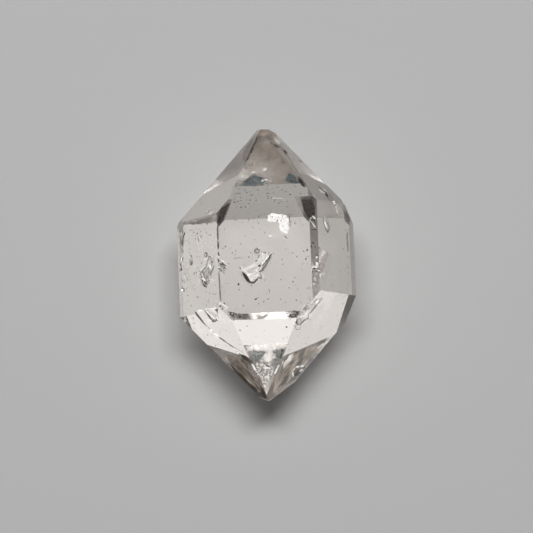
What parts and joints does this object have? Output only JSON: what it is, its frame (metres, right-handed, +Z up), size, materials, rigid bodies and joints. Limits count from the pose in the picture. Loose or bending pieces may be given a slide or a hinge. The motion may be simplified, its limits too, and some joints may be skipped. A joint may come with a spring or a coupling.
{
  "type": "herkimer diamond, a doubly terminated quartz crystal",
  "caption": "Water-clear quartz crystal with six prism faces and a six-sided pyramid at both ends, lying on one of its prism faces.",
  "frame": {"origin": "middle of the crystal's box in X and Y, at the height of the prism face it lies on", "axes": "+Y along the crystal's long axis towards its head, +Z up through the prism face opposite the one it lies on, +X across"},
  "size_m": [0.0098, 0.015, 0.0077],
  "materials": {
    "clear_quartz": "clear, glossy natural faces with fine growth lines"
  },
  "bodies": {
    "root": {"crystal": "clear_quartz"}
  },
  "joints": []
}
